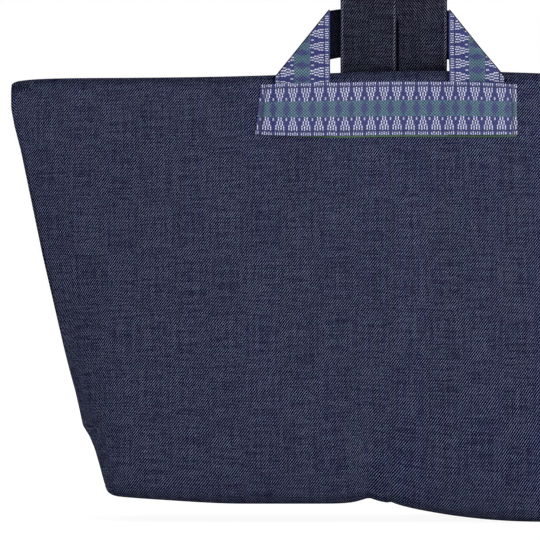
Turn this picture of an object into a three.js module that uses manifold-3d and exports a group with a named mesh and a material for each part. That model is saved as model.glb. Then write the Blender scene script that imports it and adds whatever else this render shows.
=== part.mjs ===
// A denim tote with boxed corners, closed by its own strap. The long strap is sewn inside the rear of
// the mouth, passes under the upper run of a short ribbon-faced loop on the front, and joins above it.
// Millimetres, +Z up. The front faces -Y, and the bag stands on its base at Z = 0.

import * as THREE from 'three';
import { mergeVertices } from 'three/addons/utils/BufferGeometryUtils.js';
import Module from 'manifold-3d';

const wasm = await Module();
wasm.setup();

// The bag's body, measured over the outside of the cloth
const mouthWidth = 542;
const mouthHeight = 317;
const mouthRise = 5.2; // how much higher the mouth's edge lies near its middle
const riseCentre = 30;
const riseSpread = 120;
const shoulderDrop = 24; // the sides stand upright this far below the mouth
const hipWidth = 440;
const hipHeight = 69;
const baseWidth = 390;
const baseDepth = 130;
const baseRounding = 14;
const baseCorner = 30;
const mouthDepth = 40; // of the open lens, before the strap draws its middle together
const pinchedDepth = 20;
const pinchSpread = 105;
const footRaise = 13.6; // the left half of the front's lower edge stays off the floor
const notchRise = 4; // a fold at the end of the raised stretch lifts the edge a little more
const notchPlace = -16;
const notchSpread = 12;
const baseTaper = 0.1; // how much narrower the base is along its middle than along its edge
const seamPass = 1; // the base's cloth is drawn this far past the seam's plane, where it's cut

// Cloth and thread
const denimThickness = 1.1;
const liningThickness = 0.7;
const ribbonThickness = 0.6;
const tapeThickness = 0.5;
const threadThickness = 0.5;
const seamThickness = 0.6;
const clearance = 0.3;
const drapeGap = 0.4; // between flat pieces that lie on the curved front

// Sewing
const facingDepth = 40;
const seamAllowance = 9;
const seamSplit = 0.3; // between the two cloths that a seam joins
const seamJoin = 0.1; // the two halves of a pressed seam share this much at its middle

// Ribbon patch on the front, and the tape under it
const ribbonWidth = 38;
const patchLength = 183;
const patchCentre = 0;
const patchDrop = 7; // from the mouth's edge to the patch
const tapeReach = 1.5; // how far the tape shows below the patch
const tapeLength = 172;
const stitchInset = 2.2;
const stitchWidth = 0.9;

// Short loop, and the long strap that passes through it
const loopWidth = 40; // of its denim strip
const loopInside = 85; // between its two risers
const loopReach = 45; // from the mouth's middle to the top of the loop
const loopRunWidth = 36; // the height of its upper run
const loopArch = 3; // how much the upper run rises to its middle
const loopEndLength = 36; // of each end, under the patch
const strapWidth = 38.2;
const strapThickness = 2.4;
const strapEndLength = 34; // inside the mouth, on the facing
const legLength = 56;
const strapReach = 210; // from the mouth's middle to the top of the strap
const strapSpread = 74; // of the hand loop, over the middle of the strip
const hingeLift = 8; // of the strap's and loop's bend above the mouth's edge
const bendGap = 0.5; // between the round end of a moving run and the end that it bends from
const bendForward = 2; // of the bend in front of the seam's plane
const bendSteepness = 60; // degrees, of a sewn end where it meets the bend
const loopTurns = [85, 130]; // degrees, where the loop's end is bent over the mouth's edge
const strapTurn = [5.5, 13]; // where the strap's end starts down: behind the bend, and below it
const strapSettle = 10; // below the mouth's edge, where the strap's end lies on the facing
const foldLift = 4; // of the loop's slanting folds above the bend
const foldWidth = 2; // of a folded edge
const foldOverlap = 1; // by which the upper run passes into its folds
const strapCentre = 2.6;
const loopCentre = -0.5;
const legFlare = 0.5; // how soon the hand loop's legs begin to part

const denim = { color: 0x32364c, roughness: 0.92, metalness: 0 };
const denimBack = { color: 0x26293b, roughness: 0.94, metalness: 0 };
const cotton = { color: 0x3c4258, roughness: 0.9, metalness: 0 };
const wovenRibbon = { color: 0x626e9e, roughness: 0.62, metalness: 0 };
const greenTape = { color: 0x56785e, roughness: 0.8, metalness: 0 };
const thread = { color: 0x2c3c5c, roughness: 0.6, metalness: 0 };

const group = new THREE.Group();

function addPiece(name, geometry, finish) {
  const mesh = new THREE.Mesh(geometry, new THREE.MeshStandardMaterial(finish));
  mesh.name = name;
  group.add(mesh);
}

// Solids from meshes, for cutting and joining
function toSolid(geometry) {
  const bare = geometry.clone();
  for (const name of Object.keys(bare.attributes)) {
    if (name !== 'position') bare.deleteAttribute(name);
  }
  const merged = mergeVertices(bare, 1e-4);
  return new wasm.Manifold(new wasm.Mesh({
    numProp: 3,
    vertProperties: new Float32Array(merged.attributes.position.array),
    triVerts: new Uint32Array(merged.index.array),
  }));
}

function toGeometry(solid) {
  const mesh = solid.getMesh();
  const geometry = new THREE.BufferGeometry();
  geometry.setAttribute('position', new THREE.BufferAttribute(new Float32Array(mesh.vertProperties), 3));
  geometry.setIndex(new THREE.BufferAttribute(new Uint32Array(mesh.triVerts), 1));
  return geometry;
}

// The normal of a grid of points at (i, j); it points out of the cloth's outer face
function gridNormal(grid, i, j) {
  const rows = grid.length;
  const columns = grid[0].length;
  const across = grid[j][Math.min(i + 1, columns - 1)].clone().sub(grid[j][Math.max(i - 1, 0)]);
  const down = grid[Math.min(j + 1, rows - 1)][i].clone().sub(grid[Math.max(j - 1, 0)][i]);
  return down.cross(across).normalize();
}

// A cloth of even thickness on a grid of points, between two depths below its outer face
function cloth(grid, outerDepth, innerDepth) {
  const rows = grid.length;
  const columns = grid[0].length;
  const positions = [];
  for (const depth of [outerDepth, innerDepth]) {
    grid.forEach((row, j) => row.forEach((point, i) => {
      const moved = point.clone().addScaledVector(gridNormal(grid, i, j), -depth);
      positions.push(moved.x, moved.y, moved.z);
    }));
  }
  const outer = (i, j) => j * columns + i;
  const inner = (i, j) => rows * columns + outer(i, j);
  const faces = [];
  for (let j = 0; j < rows - 1; j += 1) {
    for (let i = 0; i < columns - 1; i += 1) {
      faces.push(outer(i, j), outer(i, j + 1), outer(i + 1, j));
      faces.push(outer(i + 1, j), outer(i, j + 1), outer(i + 1, j + 1));
      faces.push(inner(i, j), inner(i + 1, j), inner(i, j + 1));
      faces.push(inner(i + 1, j), inner(i + 1, j + 1), inner(i, j + 1));
    }
  }
  for (let i = 0; i < columns - 1; i += 1) {
    const last = rows - 1;
    faces.push(outer(i, 0), outer(i + 1, 0), inner(i, 0));
    faces.push(outer(i + 1, 0), inner(i + 1, 0), inner(i, 0));
    faces.push(outer(i, last), inner(i, last), outer(i + 1, last));
    faces.push(outer(i + 1, last), inner(i, last), inner(i + 1, last));
  }
  for (let j = 0; j < rows - 1; j += 1) {
    const last = columns - 1;
    faces.push(outer(0, j), inner(0, j), outer(0, j + 1));
    faces.push(outer(0, j + 1), inner(0, j), inner(0, j + 1));
    faces.push(outer(last, j), outer(last, j + 1), inner(last, j));
    faces.push(outer(last, j + 1), inner(last, j + 1), inner(last, j));
  }
  const geometry = new THREE.BufferGeometry();
  geometry.setAttribute('position', new THREE.Float32BufferAttribute(positions, 3));
  geometry.setIndex(faces);
  return geometry;
}

// The bag's outer face. t is the height as a share of the mouth's, from 0 at the floor to 1.
const shoulderHeight = mouthHeight - shoulderDrop;
const depthPower = 1.6; // the walls lean in faster near the mouth
const boxPower = 1.5; // the box's corners fade upwards
const pinchPower = 4; // the strap's pull is felt near the mouth only

function halfWidthAt(t) {
  const height = t * mouthHeight;
  if (height < hipHeight) return THREE.MathUtils.lerp(baseWidth / 2, hipWidth / 2, height / hipHeight);
  const share = Math.min((height - hipHeight) / (shoulderHeight - hipHeight), 1);
  return THREE.MathUtils.lerp(hipWidth / 2, mouthWidth / 2, share);
}

function halfDepthAt(t) {
  return THREE.MathUtils.lerp(baseDepth / 2, mouthDepth / 2, t ** depthPower);
}

function mouthEdge(x) {
  return mouthHeight + mouthRise * Math.exp(-(((x - riseCentre) / riseSpread) ** 2));
}

// The front's lower edge as photographed: low on the right, notched near the middle, raised on the left
function footLift(x) {
  const rise = THREE.MathUtils.smoothstep(-x, -baseWidth / 4, 0);
  return footRaise * rise + notchRise * Math.exp(-(((x - notchPlace) / notchSpread) ** 2));
}

// The front half of the section at a share of the height, drawn in by an inset, from left to right.
// It is a box with round corners at the base and a lens at the mouth.
const columns = 30;

function halfSection(t, inset) {
  const w = halfWidthAt(t) - inset;
  const d = halfDepthAt(t) - inset;
  const box = new THREE.Path();
  box.moveTo(-w, 0);
  box.lineTo(-w, -(d - baseCorner));
  box.quadraticCurveTo(-w, -d, -(w - baseCorner), -d);
  box.lineTo(w - baseCorner, -d);
  box.quadraticCurveTo(w, -d, w, -(d - baseCorner));
  box.lineTo(w, 0);
  const lens = new THREE.QuadraticBezierCurve(
    new THREE.Vector2(-w, 0), new THREE.Vector2(0, -2 * d), new THREE.Vector2(w, 0));
  const boxPoints = box.getSpacedPoints(columns);
  const lensPoints = lens.getSpacedPoints(columns);
  const boxiness = (1 - t) ** boxPower;
  return lensPoints.map((point, i) => {
    const blended = point.clone().lerp(boxPoints[i], boxiness);
    const pinch = (1 - pinchedDepth / mouthDepth) * Math.exp(-((blended.x / pinchSpread) ** 2));
    return new THREE.Vector2(blended.x, blended.y * (1 - pinch * t ** pinchPower));
  });
}

// Rows of the outer face: down the wall, round the lower edge, and along the base to its middle
const wallShares = [1, 0.96, 0.92, 0.87, 0.8, 0.7, 0.58, 0.44, 0.3, 0.18, 0.1];
const roundingSteps = 3;
const roundingShare = baseRounding / mouthHeight;
const leastStep = 0.01; // between two rows of a wall

function wallRow(t, lifted) {
  return halfSection(t, 0).map(({ x, y }) => {
    const z = t * mouthEdge(x);
    return new THREE.Vector3(x, y, z + (lifted ? liftAt(x, y, z) : 0));
  });
}

function liftAt(x, y, z) {
  const forward = THREE.MathUtils.clamp(-y / (baseDepth / 2), 0, 1);
  return footLift(x) * forward * THREE.MathUtils.smoothstep(-z, -baseDepth / 2, 0);
}

function roundedRow(angle, lifted) {
  const inset = baseRounding * (1 - Math.cos(angle));
  const z = baseRounding * (1 - Math.sin(angle));
  return halfSection(roundingShare, inset)
    .map(({ x, y }) => new THREE.Vector3(x, y, z + (lifted ? liftAt(x, y, z) : 0)));
}

function baseRow(share, lifted) {
  return halfSection(roundingShare, baseRounding).map(({ x, y }) => {
    const point = new THREE.Vector3(x * (1 - baseTaper * share), y * (1 - share) + seamPass * share, 0);
    if (lifted) point.z = liftAt(point.x, point.y, 0);
    return point;
  });
}

function wallRows(lifted, from, to) {
  const shares = [from, ...wallShares.filter((t) => t < from - leastStep && t > to + leastStep), to];
  return shares.map((t) => wallRow(t, lifted));
}

function wholeRows(lifted, from) {
  const rows = wallRows(lifted, from, roundingShare);
  for (let step = 1; step <= roundingSteps; step += 1) {
    rows.push(roundedRow((step / roundingSteps) * (Math.PI / 2), lifted));
  }
  rows.push(baseRow(0.5, lifted), baseRow(1, lifted));
  return rows;
}

// The rear is the front turned to face the other way
function mirrored(rows) {
  return rows.map((row) => row.map(({ x, y, z }) => new THREE.Vector3(x, -y, z)).reverse());
}

// Keep what lies on one side of the seam's plane, in front of or behind it
function keepSide(solid, side, overlap = -seamSplit / 2) {
  const span = 2 * mouthWidth;
  const box = new THREE.BoxGeometry(span, span, span);
  box.translate(0, side * (span / 2 - overlap), 0);
  return solid.intersect(toSolid(box));
}

function halfShell(rows, side, outerDepth, innerDepth) {
  const grid = side < 0 ? rows : mirrored(rows);
  return toGeometry(keepSide(toSolid(cloth(grid, outerDepth, innerDepth)), side));
}

// Depths of the layers below the outer face
const facingOuter = denimThickness + clearance;
const facingInner = facingOuter + denimThickness;
const seamOuter = denimThickness + clearance;
const seamInner = seamOuter + seamThickness;
const liningOuter = seamInner + clearance;
const liningInner = liningOuter + liningThickness;
const facingEnd = 1 - facingDepth / mouthHeight;
const liningStart = facingEnd - clearance / mouthHeight;

for (const [place, side] of [['front', -1], ['rear', 1]]) {
  const lifted = side < 0;
  addPiece(`${place}_panel`, halfShell(wholeRows(lifted, 1), side, 0, denimThickness), denim);
  addPiece(`${place}_facing`, halfShell(wallRows(lifted, 1, facingEnd), side, facingOuter, facingInner), denim);
  addPiece(`${place}_lining`, halfShell(wholeRows(lifted, liningStart), side, liningOuter, liningInner), cotton);
}

// Seam allowances, pressed open between the denim and the lining
function seamHalf(rows, side) {
  const layer = cloth(side < 0 ? rows : mirrored(rows), seamOuter, seamInner);
  layer.translate(0, -side * seamJoin, 0);
  return keepSide(toSolid(layer), side, seamJoin);
}

function seamStrip(frontRows, rearRows, from, to) {
  const size = to.clone().sub(from);
  const region = new THREE.BoxGeometry(size.x, size.y, size.z);
  region.translate(...from.clone().addScaledVector(size, 0.5).toArray());
  return seamHalf(frontRows, -1).add(seamHalf(rearRows, 1)).intersect(toSolid(region));
}

const seamEnd = baseWidth / 2 - baseRounding - clearance;
const cornerSeamTop = seamAllowance + denimThickness;
const sideSeamEnd = cornerSeamTop + clearance;

// What lies within the allowance of the outline seen from the front
function outlineBand(end) {
  const heights = [0, hipHeight, shoulderHeight, mouthHeight];
  const band = new THREE.Shape();
  const reach = (height, inset) => end * (halfWidthAt(height / mouthHeight) - inset);
  band.moveTo(reach(0, -seamAllowance), 0);
  for (const height of heights) band.lineTo(reach(height, -seamAllowance), height);
  for (const height of heights.toReversed()) band.lineTo(reach(height, 2 * seamAllowance), height);
  const geometry = new THREE.ExtrudeGeometry(band, { depth: 2 * seamAllowance, bevelEnabled: false });
  geometry.translate(0, 0, -seamAllowance);
  geometry.rotateX(Math.PI / 2);
  return toSolid(geometry);
}

for (const [place, end] of [['left', -1], ['right', 1]]) {
  const outer = end * mouthWidth;
  const bottom = new THREE.Vector3(Math.min(0, outer), -seamAllowance, sideSeamEnd);
  const top = new THREE.Vector3(Math.max(0, outer), seamAllowance, 2 * mouthHeight);
  const side = seamStrip(wallRows(true, liningStart, roundingShare), wallRows(false, liningStart, roundingShare),
    bottom, top);
  addPiece(`${place}_side_seam`, toGeometry(side.intersect(outlineBand(end))), denimBack);
  const cornerReach = baseDepth / 2 - baseCorner;
  const low = new THREE.Vector3(Math.min(end * (seamEnd + clearance), outer), -cornerReach, 0);
  const high = new THREE.Vector3(Math.max(end * (seamEnd + clearance), outer), cornerReach, cornerSeamTop);
  const corner = seamStrip(wholeRows(true, liningStart), wholeRows(false, liningStart), low, high);
  addPiece(`${place}_corner_seam`, toGeometry(corner), denimBack);
}

const baseSeam = seamStrip(wholeRows(true, liningStart), wholeRows(false, liningStart),
  new THREE.Vector3(-seamEnd, -seamAllowance, 0), new THREE.Vector3(seamEnd, seamAllowance, cornerSeamTop));
addPiece('base_seam', toGeometry(baseSeam), denimBack);

// Points of the front's outer face, by their distance below the mouth's edge
const faceRows = wallShares.map((t) => halfSection(t, 0));
const patchSteps = 18;
const dropSteps = 4;

function rowDepth(row, x) {
  const i = row.findIndex((point) => point.x > x);
  return THREE.MathUtils.mapLinear(x, row[i - 1].x, row[i].x, row[i - 1].y, row[i].y);
}

function frontPoint(x, drop) {
  const z = mouthEdge(x) - drop;
  const t = z / mouthEdge(x);
  const j = Math.max(wallShares.findIndex((share) => share <= t), 1);
  const y = THREE.MathUtils.mapLinear(t, wallShares[j - 1], wallShares[j],
    rowDepth(faceRows[j - 1], x), rowDepth(faceRows[j], x));
  return new THREE.Vector3(x, y, z);
}

function spread(from, to, steps) {
  return Array.from({ length: steps + 1 }, (_, i) => THREE.MathUtils.lerp(from, to, i / steps));
}

function frontGrid(left, right, upper, lower) {
  const columnsOf = (drop) => spread(left, right, patchSteps).map((x) => frontPoint(x, drop));
  return spread(upper, lower, dropSteps).map(columnsOf);
}

// The layers on the front, outwards: tape, the loop's ends, the ribbon patch and its stitching
const loopThickness = denimThickness + clearance + ribbonThickness;
const tapeOuter = drapeGap + tapeThickness;
const loopEndInner = tapeOuter + drapeGap;
const patchInner = loopEndInner + loopThickness + drapeGap;
const patchOuter = patchInner + ribbonThickness;
const patchLower = patchDrop + ribbonWidth;
const patchLeft = patchCentre - patchLength / 2;
const patchRight = patchCentre + patchLength / 2;

const tapeLeft = patchCentre - tapeLength / 2;
const tape = frontGrid(tapeLeft, tapeLeft + tapeLength, patchDrop + tapeReach, patchLower + tapeReach);
addPiece('patch_tape', cloth(tape, -tapeOuter, -drapeGap), greenTape);
addPiece('ribbon_patch', cloth(frontGrid(patchLeft, patchRight, patchDrop, patchLower), -patchOuter, -patchInner),
  wovenRibbon);

function patchBlock(inset, outerDepth, innerDepth) {
  const grid = frontGrid(patchLeft + inset, patchRight - inset, patchDrop + inset, patchLower - inset);
  return toSolid(cloth(grid, outerDepth, innerDepth));
}

const stitchBack = patchOuter + clearance;
const stitchLine = patchBlock(stitchInset, -stitchBack - threadThickness, -stitchBack)
  .subtract(patchBlock(stitchInset + stitchWidth, -stitchBack - 2 * threadThickness, 0));
addPiece('patch_stitching', toGeometry(stitchLine), thread);

// The strap and the loop bend along one line over the mouth
const bendY = -bendForward;
const bendZ = mouthEdge(0) + hingeLift;
const bendSlope = THREE.MathUtils.degToRad(bendSteepness);

// An end sewn to the bag, from the bend down: a strip through points of its own middle
function sewnEnd(centre, width, thickness, side, lowerPoints) {
  const start = thickness / 2 + bendGap;
  const away = (distance) => [bendY + side * distance * Math.cos(bendSlope),
    bendZ - distance * Math.sin(bendSlope)];
  const rowsOf = (x) => [away(start), ...lowerPoints(x)].map(([y, z]) => new THREE.Vector3(x, y, z));
  const acrossPoints = spread(centre - width / 2, centre + width / 2, dropSteps).map(rowsOf);
  const grid = acrossPoints[0].map((_, j) => acrossPoints.map((line) => line[j]));
  return cloth(grid, -thickness / 2, thickness / 2);
}

// A loop's end goes over the mouth's edge and down the front, between the tape and the patch
function loopEndPoints(x) {
  const middle = loopEndInner + loopThickness / 2;
  const edge = frontPoint(x, 0);
  const round = loopTurns.map((degrees) => THREE.MathUtils.degToRad(degrees))
    .map((angle) => [edge.y + middle * Math.cos(angle), edge.z + middle * Math.sin(angle)]);
  const down = spread(clearance, patchDrop + loopEndLength, dropSteps)
    .map((drop) => [frontPoint(x, drop).y - middle, mouthEdge(x) - drop]);
  return [...round, ...down];
}

// A strap's end goes down inside the rear facing
function strapEndPoints(x) {
  const inside = facingInner + drapeGap + strapThickness / 2;
  const rearY = (drop) => -frontPoint(x, drop).y - inside;
  return [[bendY + strapTurn[0], bendZ - strapTurn[1]],
    ...spread(strapSettle, strapEndLength, dropSteps).map((drop) => [rearY(drop), mouthEdge(x) - drop])];
}

const riserOffset = (loopInside + loopWidth) / 2;
const legOffset = (strapWidth + 2 * clearance) / 2;
for (const [place, end] of [['left', -1], ['right', 1]]) {
  addPiece(`loop_end_${place}`,
    sewnEnd(loopCentre + end * riserOffset, loopWidth, loopThickness, -1, loopEndPoints), denim);
  addPiece(`strap_end_${place}`,
    sewnEnd(strapCentre + end * legOffset, strapWidth, strapThickness, 1, strapEndPoints), denim);
}

// Round end of a run, about the line that it bends on
function roundEnd(centre, width, radius, z) {
  const rod = new THREE.CylinderGeometry(radius, radius, width, 12);
  rod.rotateZ(Math.PI / 2);
  rod.translate(centre, bendY, z);
  return toSolid(rod);
}

// A flat outline in the loop's own plane, as thick as the cloth, with its front at y
function plate(outline, y, thickness) {
  const geometry = new THREE.ExtrudeGeometry(outline,
    { depth: thickness, bevelEnabled: false, curveSegments: 8 });
  geometry.rotateX(Math.PI / 2);
  geometry.translate(0, y + thickness, 0);
  return toSolid(geometry);
}

// The short loop: two risers, folded over along slanting lines into the upper run behind them
const loopTop = mouthEdge(0) + loopReach;
const runBottom = bendZ + foldLift;
const loopFront = bendY - loopThickness / 2;
const riserDenimFront = loopFront + ribbonThickness + clearance;
const runFront = bendY + strapThickness / 2 + clearance;
const foldRim = 1.5 * (ribbonThickness + clearance); // the ribbon wraps the denim's slanting folded edge

function outlineOf(points) {
  return new THREE.Shape(points.map(([x, z]) => new THREE.Vector2(x, z)));
}

function foldLine(end, inset) {
  const outer = loopCentre + end * (loopInside / 2 + loopWidth - inset);
  const inner = loopCentre + end * (loopInside / 2 + clearance);
  return { low: [outer, runBottom - foldOverlap], high: [inner, loopTop - inset] };
}

function riser(end, inset, bottom) {
  const { low, high } = foldLine(end, inset);
  const innerX = loopCentre + end * (loopInside / 2);
  const points = [[low[0], bottom], low, high, [innerX, high[1]], [innerX, bottom]];
  return outlineOf(end < 0 ? points.reverse() : points);
}

function upperRun(inset) {
  const left = foldLine(-1, inset);
  const right = foldLine(1, inset);
  const run = new THREE.Shape();
  const lowArch = loopTop - inset - loopRunWidth + 2 * loopArch;
  run.moveTo(left.low[0] + foldOverlap, runBottom);
  run.quadraticCurveTo(loopCentre, lowArch, right.low[0] - foldOverlap, runBottom);
  run.lineTo(right.high[0], right.high[1]);
  run.quadraticCurveTo(loopCentre, right.high[1] + 2 * loopArch, left.high[0], left.high[1]);
  return run;
}

// The folded edge itself, along the slanting line
function foldedEdge(end, inset, width, y, thickness) {
  const { low, high } = foldLine(end, inset);
  const along = new THREE.Vector2(high[0] - low[0], high[1] - low[1]).normalize();
  const inward = new THREE.Vector2(along.y, -along.x).multiplyScalar(-end * width);
  const points = [low, high, [high[0] + inward.x, high[1] + inward.y], [low[0] + inward.x, low[1] + inward.y]];
  const edge = plate(outlineOf(end < 0 ? points.reverse() : points), y, thickness);
  return edge.intersect(plate(riser(end, inset, bendZ), y, thickness));
}

let loopDenim = plate(upperRun(foldRim), runFront, denimThickness);
let loopFace = plate(upperRun(0), runFront + denimThickness + clearance, ribbonThickness);
for (const end of [-1, 1]) {
  const centre = loopCentre + end * riserOffset;
  loopDenim = loopDenim.add(plate(riser(end, foldRim, bendZ), riserDenimFront, denimThickness))
    .add(foldedEdge(end, foldRim, foldWidth, riserDenimFront, runFront + denimThickness - riserDenimFront))
    .add(roundEnd(centre - end * foldRim / 2, loopWidth - foldRim, loopThickness / 2, bendZ));
  loopFace = loopFace.add(plate(riser(end, 0, bendZ + loopThickness / 2 + clearance), loopFront, ribbonThickness))
    .add(foldedEdge(end, 0, ribbonThickness, loopFront,
      runFront + denimThickness + clearance + ribbonThickness - loopFront));
}
addPiece('loop_strap', toGeometry(loopDenim), denimBack);
addPiece('loop_ribbon', toGeometry(loopFace), wovenRibbon);

// The long strap's two legs, in front of the loop's upper run
const handBendZ = bendZ + legLength;
for (const [place, end] of [['left', -1], ['right', 1]]) {
  const centre = strapCentre + end * legOffset;
  const legTop = handBendZ - strapThickness / 2 - bendGap;
  const leg = new THREE.BoxGeometry(strapWidth, strapThickness, legTop - bendZ);
  leg.translate(centre, bendY, (legTop + bendZ) / 2);
  const rounded = toSolid(leg).add(roundEnd(centre, strapWidth, strapThickness / 2, bendZ));
  addPiece(`strap_leg_${place}`, toGeometry(rounded), denim);
}

// The hand loop: each leg turns a quarter about itself, and the two meet in an arch
const handTop = mouthEdge(0) + strapReach - strapThickness / 2;
const handHeight = handTop - handBendZ;
const handSide = [[legOffset, 0], [legOffset + legFlare, 0.13], [0.33 * strapSpread, 0.32],
  [0.46 * strapSpread, 0.54], [0.5 * strapSpread, 0.75], [0.34 * strapSpread, 0.94]];
const handPoints = [...handSide.map(([x, share]) => [-x, share]), [0, 1],
  ...handSide.toReversed()];
const handCurve = new THREE.CatmullRomCurve3(handPoints.map(([x, share]) =>
  new THREE.Vector3(strapCentre + x, bendY, handBendZ + share * handHeight)));
const handSteps = 44;
const turnShare = 0.3; // of the strap's length, in which a leg turns

const handGrid = handCurve.getSpacedPoints(handSteps).map((point, j) => {
  const along = j / handSteps;
  const turned = THREE.MathUtils.smoothstep(along, 0, turnShare)
    + THREE.MathUtils.smoothstep(along, 1 - turnShare, 1);
  const angle = turned * (Math.PI / 2);
  const tangent = handCurve.getTangentAt(along);
  const across = new THREE.Vector3(Math.cos(angle), Math.sin(angle), 0);
  across.addScaledVector(tangent, -across.dot(tangent)).normalize();
  return [-0.5, 0.5].map((share) => point.clone().addScaledVector(across, share * strapWidth));
});
const hand = [-1, 1].reduce((solid, end) =>
  solid.add(roundEnd(strapCentre + end * legOffset, strapWidth, strapThickness / 2, handBendZ)),
toSolid(cloth(handGrid, -strapThickness / 2, strapThickness / 2)));
addPiece('hand_loop', toGeometry(hand), denim);

export default group;
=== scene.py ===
# %% [markdown]
# A denim tote that closes with its own strap. The bag is a sewn shell with boxed corners. A long strap
# comes out of the mouth and passes through a short ribbon-faced loop on the front, which holds the mouth
# shut. The frame gives the bodies and joints; this script gives every piece its cloth, folds and seams.

# %% The frame
import math

import bpy
import numpy as np
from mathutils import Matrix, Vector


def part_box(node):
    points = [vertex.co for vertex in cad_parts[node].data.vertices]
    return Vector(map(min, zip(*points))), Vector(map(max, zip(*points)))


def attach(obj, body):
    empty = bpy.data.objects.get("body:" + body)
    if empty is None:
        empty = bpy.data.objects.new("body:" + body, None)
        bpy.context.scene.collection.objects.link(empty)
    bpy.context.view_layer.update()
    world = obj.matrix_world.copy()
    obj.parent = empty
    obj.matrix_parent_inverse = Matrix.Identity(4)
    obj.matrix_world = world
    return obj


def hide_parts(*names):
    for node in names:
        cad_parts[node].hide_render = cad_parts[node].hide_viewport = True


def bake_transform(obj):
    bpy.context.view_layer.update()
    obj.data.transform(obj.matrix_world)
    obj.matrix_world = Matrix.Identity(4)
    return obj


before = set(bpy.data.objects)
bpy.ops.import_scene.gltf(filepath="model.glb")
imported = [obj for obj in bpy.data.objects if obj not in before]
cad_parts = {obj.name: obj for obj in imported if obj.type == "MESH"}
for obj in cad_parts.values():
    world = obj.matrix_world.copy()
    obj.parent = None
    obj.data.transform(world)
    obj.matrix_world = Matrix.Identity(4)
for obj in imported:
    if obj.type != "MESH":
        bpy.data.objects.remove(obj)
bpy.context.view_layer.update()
mm = 0.001

# %% [markdown]
# Every size is in millimetres here and becomes metres when a mesh is made. These are the sizes that the
# cloth was cut and sewn to. The side's outline leans in from the mouth to the hip in a slight wave, with
# one kink where the boxed corner begins, and the mouth's edge rises a little in the middle.

# %% Sizes of the body
panel_low, panel_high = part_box("front_panel")
mouth_half = 271.7
mouth_height = 317.0
mouth_rise, rise_centre, rise_spread = 5.2, 30.0, 120.0
corner_droop, corner_spread = 3.2, 14.0
corner_turn, turn_spread = 0.9, 1.3
side_heights = [0.0, 8.0, 36.5, 47.0, 57.0, 88.0, 147.0, 190.0, 267.0, 285.0, 300.0]
side_halves = [199.6, 204.8, 212.3, 216.0, 221.0, 226.6, 239.9, 249.6, 264.9, 269.3, mouth_half]
base_depth = 130.0
rounding = 10.0
corner_radius = 30.0
mouth_depth, pinched_depth, pinch_spread = 40.0, 20.0, 105.0
print("front panel", [round(v / mm) for v in (*panel_low, *panel_high)])


# %% [markdown]
# The camera stands far away, a little higher than the bag's middle, and looks straight at the front. The
# picture cuts the bag off on the right, so it is aimed well left of the middle.

# %% Camera
picture_centre = (-86.0, 179.4)
picture_width = 387.0
camera_distance = 5000.0
camera_rise = math.radians(1)
bpy.ops.object.camera_add(
    location=(picture_centre[0] * mm, -camera_distance * math.cos(camera_rise) * mm,
              (picture_centre[1] + camera_distance * math.sin(camera_rise)) * mm),
    rotation=(math.pi / 2 - camera_rise, 0, 0))
camera = bpy.context.object
camera.data.sensor_width = 36
camera.data.lens = camera.data.sensor_width * camera_distance / picture_width
camera.data.clip_end = 100
bpy.context.scene.camera = camera
bpy.context.scene.view_settings.view_transform = "Standard"
print("lens", round(camera.data.lens), "mm")

# %% [markdown]
# Shader maths reads best as plain expressions, so one small class wraps a socket and turns + - * / into
# Math nodes. Every other node comes from one method of Finish, which sets a node up before it links it.

# %% Shader kit
class Value:
    """A socket that carries a number."""

    def __init__(self, finish, socket):
        self.finish = finish
        self.socket = socket

    def math(self, operation, *values):
        return self.finish.node("ShaderNodeMath", {"operation": operation}, dict(enumerate(values)))

    def __add__(self, other):
        return self.math("ADD", self, other)

    def __mul__(self, other):
        return self.math("MULTIPLY", self, other)

    __radd__ = __add__
    __rmul__ = __mul__

    def __sub__(self, other):
        return self.math("SUBTRACT", self, other)

    def __rsub__(self, other):
        return self.math("SUBTRACT", other, self)

    def __truediv__(self, other):
        return self.math("DIVIDE", self, other)

    def __abs__(self):
        return self.math("ABSOLUTE", self)

    def __lt__(self, other):
        return self.math("LESS_THAN", self, other)

    def __gt__(self, other):
        return self.math("GREATER_THAN", self, other)

    def __mod__(self, other):
        return self.math("FLOORED_MODULO", self, other)

    def floor(self):
        return self.math("FLOOR", self)

    def largest(self, other):
        return self.math("MAXIMUM", self, other)

    def ramp(self, low, high, start=0.0, end=1.0):
        """Goes smoothly from start to end while this value goes from low to high."""
        return self.finish.node("ShaderNodeMapRange", {"interpolation_type": "SMOOTHSTEP"},
                                {0: self, 1: low, 2: high, 3: start, 4: end})


def linear(red, green, blue):
    """A colour as a picture shows it, 0 to 255, as the shader wants it."""
    return tuple(((v / 255 + 0.055) / 1.055) ** 2.4 if v > 10 else v / 255 / 12.92
                 for v in (red, green, blue)) + (1.0,)


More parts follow.
